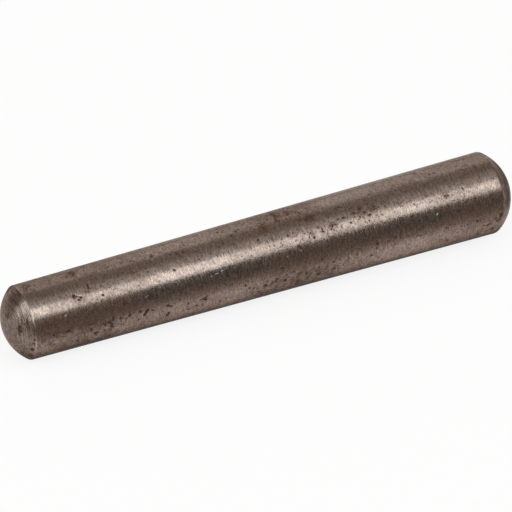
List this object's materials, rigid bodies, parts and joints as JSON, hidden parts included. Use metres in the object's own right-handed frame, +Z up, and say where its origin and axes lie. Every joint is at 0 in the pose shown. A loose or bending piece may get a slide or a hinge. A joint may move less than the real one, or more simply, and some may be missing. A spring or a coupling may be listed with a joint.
{
  "type": "taper pin",
  "caption": "Plain solid taper pin: a slim ground steel cone with a ball-shaped crown on each end.",
  "frame": {"origin": "on the pin's axis, in the plane where the small crown meets the cone, where the nominal diameter is gauged", "axes": "+X along the pin's axis towards the large end, +Z up with the pin lying on its side, +Y across the pin"},
  "size_m": [0.0589, 0.009, 0.009],
  "materials": {
    "ground_steel": "bare ground steel with grinding marks running round the pin, a thin brown oxide tarnish, small pits and specks of rust"
  },
  "bodies": {
    "root": {"taper_pin": "ground_steel"}
  },
  "joints": []
}
